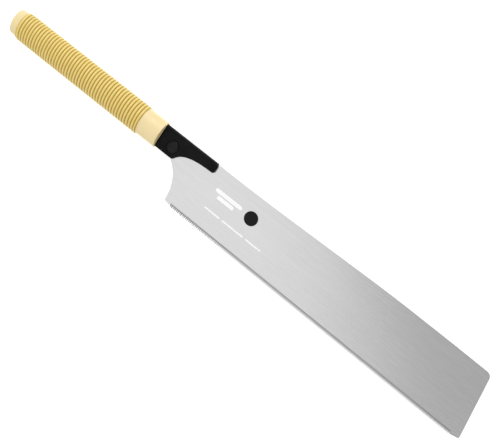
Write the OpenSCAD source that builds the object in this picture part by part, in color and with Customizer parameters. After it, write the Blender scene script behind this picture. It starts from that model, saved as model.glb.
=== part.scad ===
// Japanese-style pull saw with one toothed edge. The blade pulls out of a folded
// steel holder, and an oval cane-wound handle carries the holder's tang.
//
// Working frame of the modules: X runs along the handle axis towards the toe, with
// x = 0 at the ferrule's front face. The teeth point to -Y, and the blade lies in
// the plane z = 0. in_frame() moves all of it so that the origin is the centre of
// the saw's footprint on the surface that it lies on.

/* [Blade] */
// Thickness of the blade sheet
blade_t = 0.6; // [0.4:0.05:0.8]
// Distance between two tooth tips (14 teeth to the inch)
tooth_pitch = 1.8143; // [1.4:0.05:2.6]
// Number of teeth along the edge
tooth_count = 166; // [100:1:170]
// Height of a tooth from gullet to tip
tooth_h = 3; // [1.2:0.1:3.4]
// Distance from the handle axis down to the tooth tips
tooth_line = 47.2; // [42:0.05:50]
// Height of the back edge above the handle axis, next to the holder
back_y = 11; // [10.4:0.05:11.2]
// How far the back edge rises towards the toe
back_rise = 3.6; // [0:0.05:6]
// How far the back edge falls again at the toe
back_fall = 0.75; // [0:0.05:1.5]
// Where the first tooth starts, ahead of the ferrule
heel_x = 41.9; // [38:0.1:46]
// Radius of the scooped heel between the holder and the teeth
scoop_r = 38.35; // [37:0.05:39]
// Length of the plain corner ahead of the last tooth
toe_plain = 8.4; // [4:0.2:12]
// Lean of the toe's straight end, measured from square
toe_lean = 12.9; // [5:0.1:20]
// Radius of the toe's top corner
toe_r = 4; // [2:0.5:12]

/* [Holder] */
// Length of the holder ahead of the ferrule
holder_len = 58.8; // [50:0.2:70]
// Top of the folded holder above the handle axis
holder_top = 11.4; // [11.2:0.05:12.5]
// Bottom of the holder below the handle axis
holder_bottom = 10.95; // [10.5:0.05:12]
// Lower edge of the holder's narrow arm, above the handle axis
arm_y = 1.9; // [0:0.1:3]
// Thickness of each cheek of the holder
cheek_t = 1.7; // [1.5:0.1:2]
// Gap between the two cheeks, where the blade slides in
blade_gap = 0.9; // [0.9:0.05:1.1]
// Length of the tang inside the handle
tang_len = 92; // [60:1:120]
// Height of the tang
tang_h = 13; // [10:0.5:15]

/* [Clamp screw] */
// Distance of the clamp screw ahead of the ferrule
screw_x = 15.1; // [13:0.1:17]
// Height of the clamp screw above the handle axis
screw_y = -1.8; // [-3:0.1:0]
// Diameter of the screw's head
head_d = 10.8; // [9:0.1:11.5]
// Diameter of the screw's shank
shank_d = 5; // [4:0.1:5.5]
// Width of the coin slot
coin_slot_w = 1.3; // [0.8:0.1:1.6]

/* [Handle] */
// Length of the whole handle
handle_len = 178.5; // [160:0.5:200]
// Half width of the cane winding, measured in the plane of the blade
grip_hw = 13.8; // [13.2:0.1:16]
// Half thickness of the cane winding
grip_ht = 9.75; // [9:0.05:11]
// Thickness of the round cane strip
cane_t = 1.45; // [1.2:0.05:1.8]
// Depth of the groove between two turns
cane_groove = 0.6; // [0.3:0.05:0.8]
// Distance from one turn of cane to the next
cane_pitch = 3.21; // [2.9:0.05:3.6]
// Length of the pommel that shows behind the winding
pommel_len = 8.4; // [7:0.1:14]
// Length of the ferrule that shows ahead of the winding
ferrule_len = 21.5; // [16:0.5:26]
// Diameter of the two pins through the tang
pin_d = 3; // [2:0.5:4]

/* [Hidden] */

// Holder and its clamp
slot_w = shank_d + 0.3;
holder_z = blade_gap / 2 + cheek_t;
sweep_x = 19.2;
fold_t = 1.1;
fold_r = 1.2;
nose_low_r = 2;
nose_top_rx = 2.1;
nose_top_ry = 5;
sink_depth = 0.9;
sink_d = head_d + 1;
nut_body_d = 8;
nut_flange_w = 10.4;
sink_floor = holder_z - sink_depth;
running = 0.05;
washer_t = 0.32;
washer_gap = 0.03;
head_under = sink_floor + washer_t + 2 * washer_gap;
head_h = 1.15;
coin_slot_depth = 0.65;
nut_flange_t = 1;
nut_back = -holder_z - nut_flange_t;
pin_x = [-34, -74];

// Blade outline: its tang is stepped down to pass under the holder's fold
gullet_line = tooth_line - tooth_h;
teeth_end = heel_x + tooth_count * tooth_pitch;
toe_x = teeth_end + toe_plain;
heel_low = -gullet_line - 0.5;
heel_corner_x = heel_x - 7.1;
scoop_x = heel_x - 7.45 - scoop_r;
scoop_y = -gullet_line + 1.47;
scoop_end = 9;
tang_back = 2;
tang_corner = 1.8;
tang_top = holder_top - fold_t - 0.1;
tang_bottom = -10.3;
step_x = holder_len + 0.4;
back_bend_start = 75.5;
back_bend_end = 262.5;
toe_low_y = -tooth_line + 2.5;
toe_top_y = back_y + back_rise - back_fall;
toe_top_x = toe_x - (toe_top_y - toe_low_y) * tan(toe_lean);

// Handle
core_front = -9;
core_rear = -handle_len + 3;
wrap_front = -ferrule_len;
wrap_rear = -handle_len + pommel_len;
cane_turns = floor((wrap_front - wrap_rear) / cane_pitch);
glue = 0.05;
cane_slack = 0.17;
ferrule_hw = 12.7;
ferrule_ht = 8.25;
pommel_hw = 12.35;
pommel_ht = 8.55;
spigot_hw = 9.4;
spigot_ht = 5.6;

// Where the working frame sits: the footprint's centre, with the winding on z = 0
overall_len = handle_len + toe_x;
frame_x = handle_len - overall_len / 2;
frame_y = (tooth_line - back_y - back_rise) / 2;
frame_z = grip_ht;

module in_frame() {
    translate([frame_x, frame_y, frame_z])
        children();
}

// Height of the blade's back edge at x
function back_at(x) =
    let (rise = min(max((x - back_bend_start) / (back_bend_end - back_bend_start), 0), 1))
    let (fall = max((x - back_bend_end) / (toe_top_x - back_bend_end), 0))
    back_y + back_rise * (1 - cos(180 * rise)) / 2 - back_fall * fall * fall;

// Point of a cubic curve between a and d with handles b and c
function curve_point(a, b, c, d, t) =
    pow(1 - t, 3) * a + 3 * pow(1 - t, 2) * t * b + 3 * (1 - t) * t * t * c + t * t * t * d;

// Oval ring of points at x, with half width hw along Y and half thickness ht along Z
function oval_ring(x, hw, ht, n) =
    [for (k = [0 : n - 1]) [x, hw * cos(360 * k / n), ht * sin(360 * k / n)]];

// Two triangles for each step around, between ring i and ring j
function ring_skin(i, j, n) =
    [for (k = [0 : n - 1])
        let (m = (k + 1) % n)
        each [[i * n + k, j * n + k, i * n + m], [j * n + k, j * n + m, i * n + m]]];

// Solid lofted through oval rings, each given as [x, half width, half thickness]
module oval_solid(rings, n = 48) {
    last = len(rings) - 1;
    polyhedron(
        points = [for (r = rings) each oval_ring(r[0], r[1], r[2], n)],
        faces = [
            [for (k = [0 : n - 1]) k],
            for (i = [0 : last - 1]) each ring_skin(i, i + 1, n),
            [for (k = [n - 1 : -1 : 0]) last * n + k]
        ]
    );
}

// Sleeve lofted through oval rings that lead along the outside and back inside
module oval_sleeve(rings, n = 24) {
    count = len(rings);
    polyhedron(
        points = [for (r = rings) each oval_ring(r[0], r[1], r[2], n)],
        faces = [for (i = [0 : count - 1]) each ring_skin(i, (i + 1) % count, n)]
    );
}

// Straight oval block, for sockets and cuts
module oval_block(x0, x1, hw, ht) {
    oval_solid([[x0, hw, ht], [x1, hw, ht]]);
}

// One tooth leans towards the handle, for the pull stroke: a steep front edge, a
// short bevel over the tip and a long back edge
function tooth_points(x) = [
    [x, -gullet_line],
    [x + 0.1 * tooth_pitch, -tooth_line],
    [x + 0.48 * tooth_pitch, -tooth_line + 0.24 * tooth_h],
    [x + 0.96 * tooth_pitch, -gullet_line]
];

module blade_outline() {
    scoop_top = asin((tang_bottom - scoop_y) / scoop_r);
    polygon([
        [tang_back, tang_top - tang_corner],
        [tang_back, screw_y + slot_w / 2 + 1],
        [tang_back + 1, screw_y + slot_w / 2],
        for (a = [90 : -15 : -90]) [screw_x + slot_w / 2 * cos(a), screw_y + slot_w / 2 * sin(a)],
        [tang_back + 1, screw_y - slot_w / 2],
        [tang_back, screw_y - slot_w / 2 - 1],
        [tang_back, tang_bottom + 1],
        [tang_back + 1, tang_bottom],
        for (t = [0 : 1 / 14 : 1])
            let (a = scoop_top + (scoop_end - scoop_top) * t)
            [scoop_x + scoop_r * cos(a), scoop_y + scoop_r * sin(a)],
        [heel_corner_x - 0.1, heel_low + 0.6],
        [heel_corner_x + 0.5, heel_low],
        [heel_x - 0.7, heel_low - 0.9],
        for (i = [0 : tooth_count - 1]) each tooth_points(heel_x + i * tooth_pitch),
        [teeth_end + 0.2, -tooth_line + 0.75],
        [toe_x - 1.2, toe_low_y - 0.1],
        [toe_x - 0.3, toe_low_y + 0.3],
        [toe_x, toe_low_y + 1.2],
        for (t = [0 : 0.125 : 1])
            curve_point(
                [toe_top_x + toe_r * tan(toe_lean), toe_top_y - toe_r],
                [toe_top_x + 0.4 * toe_r * tan(toe_lean), toe_top_y - 0.4 * toe_r],
                [toe_top_x - 0.4 * toe_r, toe_top_y],
                [toe_top_x - toe_r, back_at(toe_top_x - toe_r)],
                t),
        for (k = [1 : 24])
            let (x = toe_top_x - toe_r - k * (toe_top_x - toe_r - back_bend_start) / 24)
            [x, back_at(x)],
        [step_x + 0.8, back_y],
        [step_x, tang_top],
        [tang_back + tang_corner, tang_top]
    ]);
}

module blade() {
    color("silver")
        in_frame()
            translate([0, 0, -blade_t / 2])
                linear_extrude(blade_t)
                    blade_outline();
}

// Side view of the holder: a deep rear part that sweeps up into a narrow arm
module holder_outline() {
    low_x = holder_len - nose_low_r;
    top_x = holder_len - nose_top_rx;
    difference() {
        polygon([
            [0, -holder_bottom],
            [sweep_x, -holder_bottom],
            [sweep_x + 0.9, -holder_bottom + 0.25],
            for (t = [0 : 0.05 : 1])
                curve_point([sweep_x + 1.4, -holder_bottom + 0.9], [sweep_x + 7.3, -0.5],
                    [sweep_x + 19.3, 1.4], [low_x - 1.2, arm_y], t),
            for (a = [-90 : 15 : 0])
                [low_x + nose_low_r * cos(a), arm_y + nose_low_r * (1 + sin(a))],
            for (a = [0 : 15 : 90])
                [top_x + nose_top_rx * cos(a), holder_top - nose_top_ry * (1 - sin(a))],
            [0, holder_top]
        ]);
        translate([screw_x, screw_y])
            circle(d = slot_w, $fn = 48);
    }
}

// Section of the folded sheet: two cheeks joined over the blade's back
module fold_section() {
    difference() {
        union() {
            translate([-holder_z, -holder_bottom - 1])
                square([2 * holder_z, holder_top - fold_r + holder_bottom + 1]);
            translate([-holder_z + fold_r, 0])
                square([2 * (holder_z - fold_r), holder_top]);
            for (side = [-1, 1])
                translate([side * (holder_z - fold_r), holder_top - fold_r])
                    circle(r = fold_r, $fn = 32);
        }
        translate([-blade_gap / 2, -holder_bottom - 2])
            square([blade_gap, holder_top - fold_t + holder_bottom + 2]);
    }
}

module holder() {
    color([0.1, 0.1, 0.1])
        in_frame()
            difference() {
                union() {
                    intersection() {
                        translate([0, 0, -holder_z - 1])
                            linear_extrude(2 * holder_z + 2)
                                holder_outline();
                        translate([holder_len + 1, 0, 0])
                            rotate([0, -90, 0])
                                linear_extrude(holder_len + 2)
                                    fold_section();
                    }
                    // Tang: the folded sheet runs on into the handle, pressed shut to a flat bar
                    translate([-tang_len, -tang_h / 2, -holder_z])
                        cube([tang_len + 1.5, tang_h, 2 * holder_z]);
                }
                // Sink for the screw's head and washer, in the upper cheek
                translate([screw_x, screw_y, sink_floor])
                    cylinder(d = sink_d, h = sink_depth + 1, $fn = 64);
                // Seat of the clinch nut, in the lower cheek
                translate([screw_x, screw_y, -holder_z - 1])
                    cylinder(d = nut_body_d, h = cheek_t + 1.1, $fn = 64);
                for (x = pin_x)
                    translate([x, 0, -holder_z - 1])
                        cylinder(d = pin_d + 2 * glue, h = 2 * holder_z + 2, $fn = 32);
            }
}

// Clamp screw: a low domed head with a coin slot, on a plain shank
module clamp_screw() {
    color([0.13, 0.13, 0.13])
        in_frame()
            translate([screw_x, screw_y, 0])
                difference() {
                    union() {
                        translate([0, 0, nut_back + 0.3])
                            cylinder(d = shank_d, h = head_under - nut_back, $fn = 48);
                        translate([0, 0, head_under])
                            rotate_extrude($fn = 96)
                                polygon([
                                    [0, 0],
                                    [head_d / 2, 0],
                                    [head_d / 2, head_h - 0.5],
                                    [head_d / 2 - 0.15, head_h - 0.22],
                                    [head_d / 2 - 0.5, head_h],
                                    [0, head_h]
                                ]);
                    }
                    translate([-head_d, -coin_slot_w / 2, head_under + head_h - coin_slot_depth])
                        cube([2 * head_d, coin_slot_w, 2]);
                }
}

module screw_washer() {
    color([0.55, 0.56, 0.58])
        in_frame()
            translate([screw_x, screw_y, sink_floor + washer_gap])
                difference() {
                    cylinder(d = head_d - 1, h = washer_t, $fn = 64);
                    translate([0, 0, -1])
                        cylinder(d = shank_d + 2 * running, h = washer_t + 2, $fn = 48);
                }
}

// Clinch nut: pressed into the lower cheek, with its flange outside
module clamp_nut() {
    color([0.5, 0.5, 0.52])
        in_frame()
            translate([screw_x, screw_y, 0])
                difference() {
                    union() {
                        translate([0, 0, nut_back])
                            cylinder(d = nut_body_d - 2 * glue, h = nut_flange_t + cheek_t - glue, $fn = 64);
                        translate([0, 0, nut_back])
                            cylinder(d = nut_flange_w, h = nut_flange_t - 0.02, $fn = 6);
                    }
                    translate([0, 0, nut_back - 1])
                        cylinder(d = shank_d + 2 * running, h = nut_flange_t + cheek_t + 2, $fn = 48);
                }
}

module tang_pins() {
    pin_len = 2 * (ferrule_ht - 0.6);
    color([0.7, 0.7, 0.72])
        in_frame()
            for (x = pin_x)
                translate([x, 0, -pin_len / 2])
                    cylinder(d = pin_d, h = pin_len, $fn = 32);
}

// Whole wooden core before it is split: an oval rod with a spigot at each end
module core_rod() {
    oval_solid([
        [core_rear, spigot_hw, spigot_ht],
        [wrap_rear, spigot_hw, spigot_ht],
        [wrap_rear + 0.05, grip_hw - cane_t, grip_ht - cane_t],
        [wrap_front - 0.05, grip_hw - cane_t, grip_ht - cane_t],
        [wrap_front, spigot_hw, spigot_ht],
        [core_front, spigot_hw, spigot_ht]
    ]);
}

// Half of the core on one side of the blade's plane, hollowed for the tang
module core_half(side) {
    difference() {
        core_rod();
        translate([-handle_len - 10, -30, side > 0 ? -30 + glue / 2 : -glue / 2])
            cube([handle_len + 20, 60, 30]);
        translate([-tang_len - 0.2, -tang_h / 2 - glue, -holder_z - glue])
            cube([tang_len + 1, tang_h + 2 * glue, 2 * (holder_z + glue)]);
        for (x = pin_x)
            translate([x, 0, -15])
                cylinder(d = pin_d + 2 * glue, h = 30, $fn = 32);
    }
}

module core_upper() {
    color([0.86, 0.74, 0.52])
        in_frame()
            core_half(1);
}

module core_lower() {
    color([0.82, 0.7, 0.48])
        in_frame()
            core_half(-1);
}

// Moulded collar on the core's front spigot, with a slot that the tang passes
module ferrule() {
    round_over = 0.8;
    color([0.95, 0.87, 0.68])
        in_frame()
            difference() {
                oval_solid([
                    [wrap_front + 0.02, ferrule_hw, ferrule_ht],
                    [-round_over, ferrule_hw, ferrule_ht],
                    [-0.3 * round_over, ferrule_hw - 0.3 * round_over, ferrule_ht - 0.3 * round_over],
                    [0, ferrule_hw - round_over, ferrule_ht - round_over]
                ], 64);
                oval_block(wrap_front - 1, core_front + 0.3, spigot_hw + glue, spigot_ht + glue);
                translate([core_front - 1, -tang_h / 2 - glue, -holder_z - glue])
                    cube([-core_front + 2, tang_h + 2 * glue, 2 * (holder_z + glue)]);
            }
}

// Moulded cap on the core's rear spigot, with a flat rounded end
module pommel() {
    butt = -handle_len;
    color([0.95, 0.87, 0.68])
        in_frame()
            difference() {
                oval_solid([
                    [butt, pommel_hw - 2.6, pommel_ht - 2.6],
                    [butt + 0.25, pommel_hw - 1.4, pommel_ht - 1.4],
                    [butt + 0.85, pommel_hw - 0.55, pommel_ht - 0.55],
                    [butt + 1.7, pommel_hw - 0.12, pommel_ht - 0.12],
                    [butt + 2.6, pommel_hw, pommel_ht],
                    [wrap_rear - 0.02, pommel_hw, pommel_ht]
                ], 64);
                oval_block(core_rear - 0.3, wrap_rear + 1, spigot_hw + glue, spigot_ht + glue);
            }
}

// Winding of split cane: each turn stands up between two grooves, on the core
module cane_wrap() {
    turn = (wrap_front - wrap_rear) / cane_turns;
    outside = [
        for (i = [0 : cane_turns - 1], half = [0, 1])
            let (depth = half == 1 ? 0 : cane_groove)
            [wrap_rear + (i + half / 2) * turn, grip_hw - depth, grip_ht - depth],
        [wrap_front, grip_hw - cane_groove, grip_ht - cane_groove]
    ];
    inner = cane_t - cane_slack;
    inside = [for (x = [wrap_front, wrap_rear]) [x, grip_hw - inner, grip_ht - inner]];
    color([0.93, 0.8, 0.45])
        in_frame()
            oval_sleeve(concat(outside, inside));
}

blade();
holder();
clamp_screw();
screw_washer();
clamp_nut();
tang_pins();
core_upper();
core_lower();
ferrule();
pommel();
cane_wrap();
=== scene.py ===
"""Looks of a pull saw that lies flat: the cane winding, moulded ends, black holder, screw and toothed blade.

Everything is in metres, in the CAD's frame: +X points to the toe, -Y the way the teeth point, +Z up.
"""

import math

import bmesh
import bpy
from mathutils import Matrix, Vector, noise


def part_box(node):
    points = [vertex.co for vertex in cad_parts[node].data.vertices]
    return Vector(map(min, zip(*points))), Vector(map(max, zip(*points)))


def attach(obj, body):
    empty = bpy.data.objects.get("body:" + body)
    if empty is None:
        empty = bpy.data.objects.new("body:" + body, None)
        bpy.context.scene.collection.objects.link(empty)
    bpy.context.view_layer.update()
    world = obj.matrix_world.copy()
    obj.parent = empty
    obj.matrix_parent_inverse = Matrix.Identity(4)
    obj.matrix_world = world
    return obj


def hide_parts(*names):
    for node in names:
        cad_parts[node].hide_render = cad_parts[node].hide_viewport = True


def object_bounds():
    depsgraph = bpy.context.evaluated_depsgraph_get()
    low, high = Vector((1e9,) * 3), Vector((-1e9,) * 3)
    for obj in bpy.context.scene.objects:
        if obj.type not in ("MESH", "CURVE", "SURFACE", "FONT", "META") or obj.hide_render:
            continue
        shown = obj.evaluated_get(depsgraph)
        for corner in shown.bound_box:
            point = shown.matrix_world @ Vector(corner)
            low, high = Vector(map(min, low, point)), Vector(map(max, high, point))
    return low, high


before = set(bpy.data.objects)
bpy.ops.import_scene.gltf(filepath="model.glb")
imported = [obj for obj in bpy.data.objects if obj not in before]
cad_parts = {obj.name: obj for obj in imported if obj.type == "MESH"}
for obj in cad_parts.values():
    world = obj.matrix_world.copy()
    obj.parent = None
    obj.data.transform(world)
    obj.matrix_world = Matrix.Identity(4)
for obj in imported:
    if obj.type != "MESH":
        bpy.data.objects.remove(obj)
cad_low, cad_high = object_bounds()

MM = 0.001
TAU = 2 * math.pi

# Cane winding, in millimetres: one turn's advance, the strand's thickness, the height of its edges and how
# far they stray. START_TURN is where the strand starts, as a share of a turn.
CANE_PITCH = 3.209
CANE_THICK = 1.45
CANE_TUCK = 0.2
CANE_WANDER = 0.1
CANE_STEPS_PER_TURN = 96
START_TURN = 0.84
STRAND_UV_PER_TURN = 25.0

# Moulded ends, in millimetres: the oval bore for the core, the ferrule's slot for the tang, and the rims
BORE_HALF_W = 9.45
BORE_HALF_T = 5.65
CORE_END_GAP = 0.3
TANG_SLOT_HALF_W = 6.55
TANG_SLOT_GAP = 0.05
FERRULE_RIM = 0.6
POMMEL_RIM = 2.4
OVAL_SIDES = 160
BORE_SIDES = 96

# Clamp screw, in millimetres: the shank's radius, the head's height, its coin slot and the ring turned in it
SHANK_R = 2.5
HEAD_H = 1.15
COIN_SLOT_HALF_W = 0.65
COIN_SLOT_DEPTH = 0.65
RING_DEPTH = 0.2

# Teeth and edges, in millimetres
TOOTH_PITCH = 1.8143
TOOTH_H = 3.0
TOOTH_SET = 0.13
TOOTH_BEVEL = 0.3
EDGE_ROUND = 0.35

# Printed marks, in millimetres. Their X runs from MARKS_FROM_NOSE in front of the holder, and their Y from
# the handle's axis. Each bar is (x, y, length, height).
MARKS_FROM_NOSE = 9.7
BARS = [(-0.2, -7.4, 29.0, 3.6), (4.6, -12.2, 18.0, 3.4),
        (0.0, -26.4, 17.0, 1.4), (19.5, -26.4, 24.0, 1.4), (46.0, -26.4, 17.0, 1.4)]
DOT_X = 39.8
DOT_Y = -8.8
DOT_R = 6.5
INK_LIFT = 0.005
INK_THICK = 0.02

# Studio: the floor's half size in metres and its glow, the sky's strength overhead, and the Z of the
# directions between which the sky fades to it from a white horizon
FLOOR_HALF = 6.0
FLOOR_GLOW = 0.5
SKY = 0.58
SKY_FADE_FROM = 0.02
SKY_FADE_TO = 0.22

wrap_low, wrap_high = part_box("cane_wrap")
blade_low, blade_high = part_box("blade")
holder_low, holder_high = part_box("holder")
ferrule_low, ferrule_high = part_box("ferrule")
pommel_low, pommel_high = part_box("pommel")
screw_low, screw_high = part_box("clamp_screw")
core_low, core_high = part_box("core_upper")
axis_y = (ferrule_low.y + ferrule_high.y) / 2
axis_z = (ferrule_low.z + ferrule_high.z) / 2
screw_centre = (screw_low + screw_high) / 2
tip_xs = [v.co.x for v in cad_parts["blade"].data.vertices if v.co.y < blade_low.y + 0.01 * MM]
first_tooth_x, last_tooth_x = min(tip_xs), max(tip_xs)


# ---------------------------------------------------------------- materials

class Shader:
    """A node material: add() makes a node with values and links, and the rest are short forms of it."""

    def __init__(self, name, colour, metallic, roughness):
        self.material = bpy.data.materials.new(name)
        self.material.use_nodes = True
        self.material.diffuse_color = (*colour, 1)
        self.tree = self.material.node_tree
        self.surface = self.tree.nodes["Principled BSDF"]
        self.surface.inputs["Base Color"].default_value = (*colour, 1)
        self.surface.inputs["Metallic"].default_value = metallic
        self.surface.inputs["Roughness"].default_value = roughness
        self.place = self.add("ShaderNodeTexCoord").outputs["Object"]

    def add(self, kind, settings=None, **inputs):
        made = self.tree.nodes.new(kind)
        for key, value in (settings or {}).items():
            setattr(made, key, value)
        for key, value in inputs.items():
            socket = made.inputs[int(key[1:])] if key[0] == "_" else made.inputs[key.replace("_", " ")]
            if isinstance(value, bpy.types.NodeSocket):
                self.tree.links.new(value, socket)
            else:
                socket.default_value = value
        return made

    def stretched(self, scale, place=None):
        return self.add("ShaderNodeMapping", Vector=place or self.place, Scale=scale).outputs[0]

    def noise(self, scale, detail=3.0, stretch=(1, 1, 1), place=None, distortion=0.0):
        return self.add("ShaderNodeTexNoise", Vector=self.stretched(stretch, place), Scale=scale,
                        Detail=detail, Distortion=distortion).outputs["Fac"]

    def spread(self, fac, low, high, out_low, out_high):
        return self.add("ShaderNodeMapRange", Value=fac, From_Min=low, From_Max=high,
                        To_Min=out_low, To_Max=out_high).outputs[0]

    def math(self, operation, a, b=0.0):
        return self.add("ShaderNodeMath", {"operation": operation}, _0=a, _1=b).outputs[0]

    def mix(self, fac, a, b, blend="MIX"):
        made = self.add("ShaderNodeMix", {"data_type": "RGBA", "blend_type": blend})
        for index, value in ((0, fac), (6, a), (7, b)):
            if isinstance(value, bpy.types.NodeSocket):
                self.tree.links.new(value, made.inputs[index])
            else:
                made.inputs[index].default_value = value if index == 0 else (*value, 1)
        return made.outputs[2]

    def bump(self, height, strength, distance, below=None):
        made = self.add("ShaderNodeBump", Height=height, Strength=strength, Distance=distance)
        if below is not None:
            self.tree.links.new(below, made.inputs["Normal"])
        return made.outputs[0]

    def plug(self, **sockets):
        for key, value in sockets.items():
            self.tree.links.new(value, self.surface.inputs[key.replace("_", " ")])

    def set(self, **sockets):
        for key, value in sockets.items():
            self.surface.inputs[key.replace("_", " ")].default_value = value


def blade_steel():
    """Satin spring steel: fine lengthwise grinding lines, faint clouds, scratches, darker hard teeth."""
    m = Shader("blade_steel", (0.62, 0.62, 0.62), 1.0, 0.25)
    lines = m.noise(3800, 2, (0.02, 1, 1))
    broad = m.noise(420, 2, (0.02, 1, 1))
    cloud = m.noise(11, 3)
    scratch = m.spread(m.noise(160, 2, (0.05, 1, 1), distortion=0.6), 0.66, 0.72, 0, 1)
    tone = m.mix(m.spread(lines, 0.3, 0.7, 0, 1), (0.605, 0.605, 0.605), (0.665, 0.665, 0.665))
    tone = m.mix(m.spread(broad, 0.3, 0.7, 0, 0.16), tone, (0.56, 0.56, 0.56))
    tone = m.mix(m.spread(cloud, 0.35, 0.7, 0, 0.12), tone, (0.56, 0.56, 0.57))
    spot = m.add("ShaderNodeSeparateXYZ", Vector=m.place).outputs
    gullet_y = blade_low.y + TOOTH_H * MM
    near_teeth = m.spread(spot["Y"], gullet_y + 1.1 * MM, gullet_y + 0.5 * MM, 0, 1)
    past_heel = m.spread(spot["X"], first_tooth_x - 0.8 * MM, first_tooth_x, 0, 1)
    before_toe = m.spread(spot["X"], last_tooth_x + 1.4 * MM, last_tooth_x + 2.2 * MM, 1, 0)
    tooth_share = m.math("MULTIPLY", near_teeth, m.math("MULTIPLY", past_heel, before_toe))
    tone = m.mix(tooth_share, tone, (0.27, 0.27, 0.27))
    rough = m.spread(m.math("ADD", lines, cloud), 0.7, 1.3, 0.22, 0.28)
    normal = m.bump(lines, 0.06, 0.0001)
    normal = m.bump(scratch, 0.05, 0.0001, normal)
    m.plug(Base_Color=tone, Roughness=rough, Normal=normal, Metallic=m.spread(tooth_share, 0, 1, 1, 0.3))
    m.set(Anisotropic=0.2)
    return m.material


def ground_steel():
    """Ground and hardened faces of the teeth: darker than the sheet, with grinding marks across them."""
    m = Shader("ground_steel", (0.22, 0.22, 0.22), 0.3, 0.36)
    lines = m.noise(2600, 2, (1, 0.2, 1))
    m.plug(
        Base_Color=m.mix(m.spread(lines, 0.3, 0.7, 0, 1), (0.15, 0.15, 0.15), (0.27, 0.27, 0.27)),
        Roughness=m.spread(lines, 0.3, 0.7, 0.28, 0.44),
        Normal=m.bump(lines, 0.15, 0.00005),
    )
    return m.material


def black_coat(name, roughness, shine):
    """Black satin coating on steel: a fine orange-peel grain, with greyer worn patches."""
    m = Shader(name, (0.005, 0.005, 0.0053), 0.0, roughness)
    grain = m.noise(1600, 3)
    peel = m.noise(420, 2)
    wear = m.noise(70, 5)
    tone = m.mix(m.spread(wear, 0.45, 0.75, 0, 1), (0.0025, 0.0025, 0.0026), (0.006, 0.006, 0.0063))
    normal = m.bump(peel, 0.12, 0.0002)
    normal = m.bump(grain, 0.1, 0.0001, normal)
    m.plug(Base_Color=tone, Normal=normal,
           Roughness=m.spread(m.math("ADD", grain, wear), 0.6, 1.4, roughness - 0.06, roughness + 0.1))
    m.set(Specular_IOR_Level=shine)
    return m.material


def plated_steel():
    """Zinc-plated small parts with a faint turned finish."""
    m = Shader("plated_steel", (0.55, 0.55, 0.57), 1.0, 0.3)
    spots = m.noise(900, 4)
    m.plug(
        Base_Color=m.mix(spots, (0.46, 0.46, 0.47), (0.64, 0.64, 0.67)),
        Roughness=m.spread(spots, 0.3, 0.7, 0.24, 0.4),
        Normal=m.bump(spots, 0.1, 0.0001),
    )
    return m.material


def cream_plastic():
    """Cream moulded plastic with a fine satin skin, slightly uneven in tone."""
    m = Shader("cream_plastic", (0.8, 0.66, 0.37), 0.0, 0.42)
    cloud = m.noise(40, 4)
    skin = m.noise(2200, 3)
    smear = m.noise(120, 3, (1, 0.3, 0.3))
    tone = m.mix(m.spread(cloud, 0.3, 0.7, 0, 1), (0.78, 0.63, 0.325), (0.82, 0.675, 0.37))
    m.plug(Base_Color=tone, Normal=m.bump(skin, 0.1, 0.0001),
           Roughness=m.spread(smear, 0.3, 0.7, 0.36, 0.5))
    m.set(Subsurface_Weight=0.08, Subsurface_Radius=(0.9, 0.6, 0.3), Subsurface_Scale=0.002)
    return m.material


def cane():
    """Pale yellow varnished cane: lengthwise fibres, uneven tone, and edges darkened down in the grooves by
    painted shade and grime.
    """
    m = Shader("cane", (0.82, 0.62, 0.2), 0.0, 0.4)
    strand = m.add("ShaderNodeUVMap", {"uv_map": "strand"}).outputs[0]
    across = m.add("ShaderNodeSeparateXYZ", Vector=strand).outputs["Y"]
    edge = m.math("ABSOLUTE", m.math("SUBTRACT", across, 0.5))
    fibre = m.noise(9, 4, (0.9, 1.6, 1), strand)
    fleck = m.noise(30, 3, (0.35, 0.5, 1), strand)
    length_tone = m.noise(0.35, 3, (1, 0.01, 1), strand)
    tone = m.mix(m.spread(length_tone, 0.3, 0.7, 0, 1), (0.74, 0.535, 0.135), (0.83, 0.63, 0.19))
    tone = m.mix(m.spread(fibre, 0.35, 0.75, 0, 0.5), tone, (0.88, 0.7, 0.26))
    tone = m.mix(m.spread(fleck, 0.62, 0.72, 0, 0.3), tone, (0.6, 0.38, 0.11))
    # Painted shade, partly grime: the strand's edges, down in the grooves between turns, darken towards
    # brown.
    tone = m.mix(m.spread(edge, 0.1, 0.5, 0, 0.85), tone, (0.4, 0.26, 0.03))
    normal = m.bump(fibre, 0.35, 0.0002)
    normal = m.bump(fleck, 0.2, 0.0001, normal)
    m.plug(Base_Color=tone, Normal=normal, Roughness=m.spread(fibre, 0.3, 0.7, 0.34, 0.5))
    m.set(Specular_IOR_Level=0.45, Coat_Weight=0.12, Coat_Roughness=0.3)
    return m.material


def core_wood():
    """Pale straight-grained softwood, hidden inside the handle."""
    m = Shader("core_wood", (0.68, 0.5, 0.28), 0.0, 0.6)
    rings = m.noise(60, 5, (0.05, 1, 1), distortion=0.4)
    fibre = m.noise(900, 2, (0.02, 1, 1))
    m.plug(
        Base_Color=m.mix(rings, (0.6, 0.41, 0.2), (0.75, 0.58, 0.35)),
        Normal=m.bump(fibre, 0.2, 0.0002),
        Roughness=m.spread(fibre, 0.3, 0.7, 0.5, 0.7),
    )
    return m.material


def printing_ink(name, colour):
    """Matt printed ink, slightly rubbed."""
    m = Shader(name, colour, 0.0, 0.6)
    rub = m.noise(500, 4)
    worn = tuple(0.93 * c + 0.01 for c in colour)
    m.plug(Base_Color=m.mix(m.spread(rub, 0.4, 0.8, 0, 0.5), colour, worn),
           Roughness=m.spread(rub, 0.3, 0.7, 0.48, 0.62), Normal=m.bump(rub, 0.1, 0.00005))
    m.set(Specular_IOR_Level=0.15)
    return m.material


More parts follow.
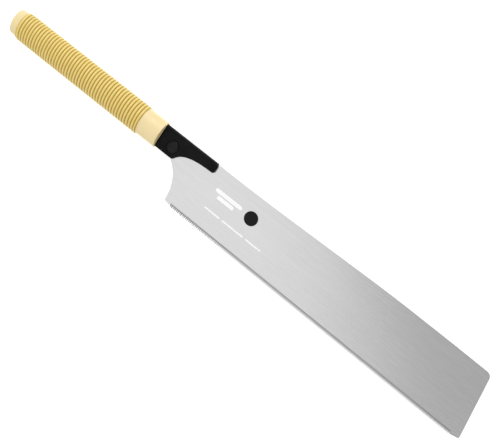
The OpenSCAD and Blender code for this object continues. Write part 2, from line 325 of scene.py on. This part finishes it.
STEEL = blade_steel()
GROUND = ground_steel()
COAT = black_coat("black_coat", 0.36, 0.09)
SCREW_COAT = black_coat("screw_coat", 0.3, 0.2)
PLATED = plated_steel()
CREAM = cream_plastic()
CANE = cane()
WOOD = core_wood()
WHITE_INK = printing_ink("white_ink", (0.92, 0.92, 0.92))
DARK_INK = printing_ink("dark_ink", (0.004, 0.004, 0.005))


# ---------------------------------------------------------------- mesh helpers

def smooth_up_to(mesh, degrees):
    mesh.shade_smooth()
    mesh.set_sharp_from_angle(angle=math.radians(degrees))


def finish_piece(mesh, name, body, material, smooth=None, node=None):
    """Links a mesh as a named piece on its CAD body, smooth up to an angle in degrees."""
    piece = bpy.data.objects.new(name, mesh)
    bpy.context.scene.collection.objects.link(piece)
    mesh.materials.clear()
    mesh.materials.append(material)
    if smooth is not None:
        smooth_up_to(mesh, smooth)
    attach(piece, body)
    if node:
        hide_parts(node)
    return piece


def mesh_of(points, faces, name):
    mesh = bpy.data.meshes.new(name)
    mesh.from_pydata(points, [], faces)
    mesh.validate()
    work = bmesh.new()
    work.from_mesh(mesh)
    bmesh.ops.recalc_face_normals(work, faces=work.faces)
    work.to_mesh(mesh)
    work.free()
    return mesh


def clean_copy(node, name):
    """The CAD node's mesh, welded, with its flat faces made whole again."""
    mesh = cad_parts[node].data.copy()
    mesh.name = name
    work = bmesh.new()
    work.from_mesh(mesh)
    bmesh.ops.remove_doubles(work, verts=work.verts, dist=2e-6)
    bmesh.ops.dissolve_limit(work, angle_limit=math.radians(0.4), verts=work.verts, edges=work.edges)
    bmesh.ops.recalc_face_normals(work, faces=work.faces)
    work.to_mesh(mesh)
    work.free()
    return mesh


def round_edges(piece, width, segments=3, angle=28):
    bevel = piece.modifiers.new("round_edges", "BEVEL")
    bevel.width = width * MM
    bevel.segments = segments
    bevel.limit_method = "ANGLE"
    bevel.angle_limit = math.radians(angle)
    bevel.harden_normals = True


def settle(piece):
    """Applies a piece's modifiers, so that its own mesh is the final one."""
    graph = bpy.context.evaluated_depsgraph_get()
    made = bpy.data.meshes.new_from_object(piece.evaluated_get(graph), depsgraph=graph)
    piece.modifiers.clear()
    piece.data = made


def cut(piece, *cutters):
    """Takes the cutters' shapes out of the piece and removes them."""
    for cutter in cutters:
        step = piece.modifiers.new("cut", "BOOLEAN")
        step.operation = "DIFFERENCE"
        step.solver = "EXACT"
        step.object = cutter
    settle(piece)
    for cutter in cutters:
        bpy.data.objects.remove(cutter)


def loose(mesh):
    piece = bpy.data.objects.new(mesh.name, mesh)
    bpy.context.scene.collection.objects.link(piece)
    return piece


def ring_faces(rings, count):
    """Faces of a closed solid through rings of count points each: its sides and its two ends."""
    faces = []
    for i in range(rings - 1):
        for k in range(count):
            m = (k + 1) % count
            faces.append((i * count + k, i * count + m, (i + 1) * count + m, (i + 1) * count + k))
    faces.append(tuple(range(count)))
    faces.append(tuple((rings - 1) * count + k for k in range(count)))
    return faces


def oval_rings(rings, count, name):
    """A closed solid through oval rings along X, each (x, half width, half thickness) in metres."""
    points = []
    for x, half_w, half_t in rings:
        for k in range(count):
            angle = TAU * k / count
            points.append((x, axis_y + half_w * math.cos(angle), axis_z + half_t * math.sin(angle)))
    return mesh_of(points, ring_faces(len(rings), count), name)


def block(low, high, name):
    corners = [(x, y, z) for x in (low[0], high[0]) for y in (low[1], high[1]) for z in (low[2], high[2])]
    faces = [(0, 1, 3, 2), (4, 6, 7, 5), (0, 4, 5, 1), (2, 3, 7, 6), (0, 2, 6, 4), (1, 5, 7, 3)]
    return mesh_of(corners, faces, name)


def lathe(profile, count, name, centre):
    """A solid turned about the vertical line through centre, from (radius, height) points in millimetres."""
    points = []
    for radius, height in profile:
        for k in range(count):
            angle = TAU * k / count
            points.append((centre.x + radius * MM * math.cos(angle),
                           centre.y + radius * MM * math.sin(angle), height * MM))
    return mesh_of(points, ring_faces(len(profile), count), name)


def half_sizes(node, x, reach):
    """Half width and half thickness of a CAD node within reach of x."""
    near = [v.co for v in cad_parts[node].data.vertices if abs(v.co.x - x) < reach]
    return max(abs(c.y - axis_y) for c in near), max(abs(c.z - axis_z) for c in near)


# ---------------------------------------------------------------- cane winding

def wander(turn, seed):
    """Small smooth unevenness along the strand, as hand winding leaves."""
    angle = TAU * turn
    return noise.noise(Vector((math.cos(angle) * 0.8, math.sin(angle) * 0.8, turn * 0.9 + seed * 31.7)))


def rise(share, start=0.35):
    """Grows from start to 1 as share grows from 0 to 1."""
    return start + (1 - start) * min(1.0, share)


def build_winding():
    """One long strand wound as a helix. Its width runs out at both ends, so that they finish square."""
    x0, x1 = wrap_low.x, wrap_high.x
    thick = CANE_THICK * MM
    pitch = CANE_PITCH * MM
    rear_w, rear_t = half_sizes("cane_wrap", x0 + 2 * pitch, 2 * pitch)
    front_w, front_t = half_sizes("cane_wrap", x1 - 2 * pitch, 2 * pitch)
    turns = (x1 - x0) / pitch + 1
    steps = round(turns * CANE_STEPS_PER_TURN)
    arc = [-90, -74, -58, -42, -26, -9, 9, 26, 42, 58, 74, 90]
    section = [(-0.98, 0.0)] + [
        (math.sin(math.radians(a)), CANE_TUCK + (CANE_THICK - CANE_TUCK) * math.cos(math.radians(a)))
        for a in arc] + [(0.98, 0.0)]
    count = len(section)

    def edge(turn):
        x = x0 + pitch * turn
        if turn <= 0.0 or turn >= turns - 1:
            return min(max(x, x0), x1)
        ends = min(1.0, turn / 1.5, (turns - 1 - turn) / 1.5)
        return x + CANE_WANDER * MM * ends * wander(turn, 1)

    points, strand_uv = [], []
    for i in range(steps + 1):
        turn = turns * i / steps
        low, high = edge(turn - 1), edge(turn)
        middle, half = (low + high) / 2, max((high - low) / 2, 0.02 * MM)
        share = (middle - x0) / (x1 - x0)
        core_w = rear_w + (front_w - rear_w) * share - thick
        core_t = rear_t + (front_t - rear_t) * share - thick
        swell = (1 + 0.05 * wander(turn, 2)) * rise(turn / 1.3) * rise(half / (0.3 * pitch))
        angle = TAU * (turn + START_TURN)
        c, s = math.cos(angle), math.sin(angle)
        normal = Vector((0, c * core_t, s * core_w)).normalized()
        base = Vector((0, axis_y + core_w * c, axis_z + core_t * s))
        for across, height in section:
            points.append(base + normal * (height * MM * swell) + Vector((middle + across * half, 0, 0)))
            strand_uv.append((turn * STRAND_UV_PER_TURN, (across + 1) / 2))
    mesh = mesh_of(points, ring_faces(steps + 1, count), "cane_winding")
    layer = mesh.uv_layers.new(name="strand")
    for loop in mesh.loops:
        layer.data[loop.index].uv = strand_uv[loop.vertex_index]
    finish_piece(mesh, "cane_winding", "handle", CANE, 60, "cane_wrap")


# ---------------------------------------------------------------- moulded ends

def rounded_end(x_end, inward, half_w, half_t, radius, steps=8):
    """Oval rings round the rim from the side to the flat end at x_end. inward is the way back along X."""
    rings = []
    for k in range(steps + 1):
        a = math.pi / 2 * k / steps
        pull = radius * (1 - math.cos(a))
        rings.append((x_end + inward * radius * (1 - math.sin(a)), half_w - pull, half_t - pull))
    return rings


def core_bore(x_from, x_to):
    """The oval hole for the core, from one X to the other."""
    rings = [(x, BORE_HALF_W * MM, BORE_HALF_T * MM) for x in (x_from, x_to)]
    return loose(oval_rings(rings, BORE_SIDES, "bore"))


def build_ferrule():
    x0, x1 = ferrule_low.x, ferrule_high.x
    half_w = (ferrule_high.y - ferrule_low.y) / 2
    half_t = (ferrule_high.z - ferrule_low.z) / 2
    rings = [(x0, half_w, half_t)]
    rings += [(x0 + (x1 - x0) * share, half_w, half_t) for share in (0.2, 0.45, 0.7)]
    rings += rounded_end(x1, -1, half_w, half_t, FERRULE_RIM * MM)
    piece = finish_piece(oval_rings(rings, OVAL_SIDES, "ferrule_shell"), "ferrule_shell", "handle",
                         CREAM, None, "ferrule")
    slot_half_w = TANG_SLOT_HALF_W * MM
    slot_half_t = (holder_high.z - holder_low.z) / 2 + TANG_SLOT_GAP * MM
    slot = loose(block((core_high.x - MM, axis_y - slot_half_w, axis_z - slot_half_t),
                       (x1 + MM, axis_y + slot_half_w, axis_z + slot_half_t), "slot"))
    cut(piece, core_bore(x0 - MM, core_high.x + CORE_END_GAP * MM), slot)
    smooth_up_to(piece.data, 35)


def build_pommel():
    x0, x1 = pommel_low.x, pommel_high.x
    half_w = (pommel_high.y - pommel_low.y) / 2
    half_t = (pommel_high.z - pommel_low.z) / 2
    rings = rounded_end(x0, 1, half_w, half_t, POMMEL_RIM * MM, 12)[::-1]
    rings += [(x0 + (x1 - x0) * share, half_w, half_t) for share in (0.5, 0.75, 1.0)]
    piece = finish_piece(oval_rings(rings, OVAL_SIDES, "pommel_cap"), "pommel_cap", "handle",
                         CREAM, None, "pommel")
    cut(piece, core_bore(core_low.x - CORE_END_GAP * MM, x1 + MM))
    smooth_up_to(piece.data, 35)


# ---------------------------------------------------------------- holder and clamp

def build_holder():
    piece = finish_piece(clean_copy("holder", "holder_shell"), "holder_shell", "handle",
                         COAT, 30, "holder")
    round_edges(piece, EDGE_ROUND)
    settle(piece)


def build_screw():
    """Low domed head with a coin slot and a turned ring, on a shank that ends inside the nut."""
    top = screw_high.z / MM
    bottom = screw_low.z / MM
    under = top - HEAD_H
    rim = (screw_high.x - screw_low.x) / 2 / MM
    chamfer, edge_r, ring_z = 0.5, 0.5, top - RING_DEPTH
    profile = [(0.4, bottom), (SHANK_R - chamfer, bottom), (SHANK_R, bottom + chamfer), (SHANK_R, under),
               (rim - 0.12, under), (rim, under + 0.12), (rim, top - edge_r)]
    profile += [(rim - edge_r + edge_r * math.cos(math.radians(a)),
                 top - 0.58 + edge_r * math.sin(math.radians(a))) for a in (25, 50, 75)]
    profile += [(rim - 1.0, top - 0.06), (rim - 1.15, ring_z), (rim - 1.4, ring_z), (rim - 1.55, top - 0.05),
                (rim - 2.6, top - 0.02), (1.2, top), (0.3, top)]
    piece = finish_piece(lathe(profile, 128, "screw_head", screw_centre), "screw_body", "screw",
                         SCREW_COAT, None, "clamp_screw")
    reach, half_slot = 10 * MM, COIN_SLOT_HALF_W * MM
    slot = loose(block((screw_centre.x - reach, screw_centre.y - half_slot, (top - COIN_SLOT_DEPTH) * MM),
                       (screw_centre.x + reach, screw_centre.y + half_slot, (top + 1) * MM), "slot"))
    cut(piece, slot)
    smooth_up_to(piece.data, 32)
    round_edges(piece, 0.07, 2, 32)
    settle(piece)


def build_nut():
    piece = finish_piece(clean_copy("clamp_nut", "nut_body"), "nut_body", "handle",
                         PLATED, 30, "clamp_nut")
    round_edges(piece, 0.2, 2)
    settle(piece)


# ---------------------------------------------------------------- blade

def build_blade():
    """The CAD blade with its teeth set to alternate sides and ground to knife edges."""
    mesh = clean_copy("blade", "blade_sheet")
    tip_y = blade_low.y
    gullet_y = tip_y + TOOTH_H * MM
    middle_z = (blade_low.z + blade_high.z) / 2
    work = bmesh.new()
    work.from_mesh(mesh)
    # Two cuts just above the gullets, so that only the toothed strip's faces bend
    for height in (0.02, 0.9):
        bmesh.ops.bisect_plane(
            work, geom=work.verts[:] + work.edges[:] + work.faces[:], dist=1e-7,
            plane_co=(0, gullet_y + height * MM, 0), plane_no=(0, 1, 0))
    tips = sorted({round(v.co.x, 6) for v in work.verts if v.co.y < tip_y + 0.01 * MM})
    first = tips[0]
    for v in work.verts:
        depth = (gullet_y - v.co.y) / (TOOTH_H * MM)
        if depth < 0.05:
            continue
        index = math.floor((v.co.x - first) / (TOOTH_PITCH * MM) + 0.45)
        side = 1 if index % 2 else -1
        upper = 1 if v.co.z > middle_z else -1
        is_front = abs(v.co.x - first - index * TOOTH_PITCH * MM) < 0.1 * MM
        if 0 <= index < len(tips) and first - MM < v.co.x < tips[-1] + MM:
            if upper != side:
                v.co.x += (TOOTH_BEVEL if is_front else -TOOTH_BEVEL * 0.6) * MM * depth
            v.co.z += side * TOOTH_SET * MM * depth
    bmesh.ops.recalc_face_normals(work, faces=work.faces)
    work.to_mesh(mesh)
    work.free()
    finish_piece(mesh, "blade_sheet", "blade", STEEL, None, "blade")
    mesh.materials.append(GROUND)
    for face in mesh.polygons:
        face.material_index = 1 if face.center.y < gullet_y and abs(face.normal.z) < 0.8 else 0


def plate(outline, z, thick, name, body, material):
    """A thin flat plate from an outline of (x, y) points in metres, in order round it."""
    count = len(outline)
    points = [(x, y, z) for x, y in outline] + [(x, y, z + thick) for x, y in outline]
    faces = [tuple(range(count)), tuple(count + k for k in range(count))]
    faces += [(k, (k + 1) % count, count + (k + 1) % count, count + k) for k in range(count)]
    finish_piece(mesh_of(points, faces, name), name, body, material)


def bar_outline(x, y, length, height):
    """A bar with round ends, starting at x and centred on y."""
    r = height / 2
    ends = []
    for centre, start in ((x + length - r, -90), (x + r, 90)):
        ends += [(centre + r * math.cos(math.radians(start + a)), y + r * math.sin(math.radians(start + a)))
                 for a in range(0, 181, 20)]
    return ends


def build_marks():
    """Plain printed bars and a plain dot, in place of lettering and a picture."""
    z = blade_high.z + INK_LIFT * MM
    thick = INK_THICK * MM
    left = holder_high.x + MARKS_FROM_NOSE * MM
    for number, (dx, dy, length, height) in enumerate(BARS):
        outline = bar_outline(left + dx * MM, axis_y + dy * MM, length * MM, height * MM)
        plate(outline, z, thick, f"printed_bar_{number}", "blade", WHITE_INK)
    centre_x, centre_y, radius, sides = left + DOT_X * MM, axis_y + DOT_Y * MM, DOT_R * MM, 64
    disc = [(centre_x + radius * math.cos(TAU * k / sides), centre_y + radius * math.sin(TAU * k / sides))
            for k in range(sides)]
    plate(disc, z, thick, "printed_dot", "blade", DARK_INK)


# ---------------------------------------------------------------- stage

def area_light(name, shape, place, size, power, target=None, turn=0.0):
    """A soft light that looks at target, or straight down and turned about the vertical by degrees."""
    data = bpy.data.lights.new(name, "AREA")
    data.shape = shape
    data.size = size
    data.energy = power
    light = bpy.data.objects.new(name, data)
    light.location = place
    light.rotation_euler.z = math.radians(turn)
    if target:
        light.rotation_mode = "QUATERNION"
        light.rotation_quaternion = (Vector(target) - Vector(place)).to_track_quat("-Z", "Y")
    bpy.context.scene.collection.objects.link(light)


def build_stage():
    half = FLOOR_HALF
    mesh = mesh_of([(-half, -half, 0), (half, -half, 0), (half, half, 0), (-half, half, 0)],
                   [(0, 1, 2, 3)], "floor")
    floor = bpy.data.objects.new("floor", mesh)
    floor.location.z = cad_low.z - 0.1 * MM
    bpy.context.scene.collection.objects.link(floor)
    paper = Shader("pale_floor", (0.92, 0.92, 0.92), 0.0, 0.7)
    fine = paper.noise(300, 2)
    paper.plug(Base_Color=paper.mix(fine, (0.915, 0.915, 0.915), (0.925, 0.925, 0.925)))
    paper.set(Emission_Color=(1, 1, 1, 1), Emission_Strength=FLOOR_GLOW)
    mesh.materials.append(paper.material)

    world = bpy.data.worlds.new("studio")
    world.use_nodes = True
    nodes, links = world.node_tree.nodes, world.node_tree.links
    nodes["Background"].inputs["Color"].default_value = (1, 1, 1, 1)
    split = nodes.new("ShaderNodeSeparateXYZ")
    fade = nodes.new("ShaderNodeMapRange")
    for name, value in (("From Min", SKY_FADE_FROM), ("From Max", SKY_FADE_TO),
                        ("To Min", 1.0), ("To Max", SKY)):
        fade.inputs[name].default_value = value
    links.new(nodes.new("ShaderNodeTexCoord").outputs["Generated"], split.inputs[0])
    links.new(split.outputs["Z"], fade.inputs["Value"])
    links.new(fade.outputs[0], nodes["Background"].inputs["Strength"])
    bpy.context.scene.world = world
    area_light("key", "DISK", place=(-0.25, 0.65, 1.05), size=0.7, power=7.7, target=(0, 0, 0))
    area_light("soft_box", "SQUARE", place=(-0.42, -0.92, 1.5), size=1.5, power=4.1, turn=45)


def build_camera():
    """The camera stands above the saw, a little towards its back edge and toe, rolled so that the saw runs
    down to the right."""
    distance = 0.6301
    towards = Vector((0.1836, 0.2694, 0))
    towards.z = math.sqrt(1 - towards.x ** 2 - towards.y ** 2)
    roll = math.radians(38.586)
    target = Vector((0.0237, 0.0032, axis_z))
    along = (Vector((1, 0, 0)) - towards.x * towards).normalized()
    up = towards.cross(along)
    right = math.cos(roll) * along + math.sin(roll) * up
    image_up = math.cos(roll) * up - math.sin(roll) * along
    data = bpy.data.cameras.new("camera")
    data.sensor_width = 36
    data.lens = 53.16
    camera = bpy.data.objects.new("camera", data)
    rotation = Matrix((right, image_up, towards)).transposed()
    camera.matrix_world = Matrix.Translation(target + distance * towards) @ rotation.to_4x4()
    bpy.context.scene.collection.objects.link(camera)
    bpy.context.scene.camera = camera


def paint_hidden_nodes():
    """Inner CAD parts keep their shapes and get their materials."""
    for node, material in (("core_upper", WOOD), ("core_lower", WOOD), ("tang_pins", PLATED),
                           ("screw_washer", PLATED)):
        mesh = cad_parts[node].data
        mesh.materials.clear()
        mesh.materials.append(material)


build_camera()
build_winding()
build_ferrule()
build_pommel()
build_holder()
build_screw()
build_nut()
build_blade()
build_marks()
paint_hidden_nodes()
build_stage()
bpy.context.scene.view_settings.view_transform = "Standard"
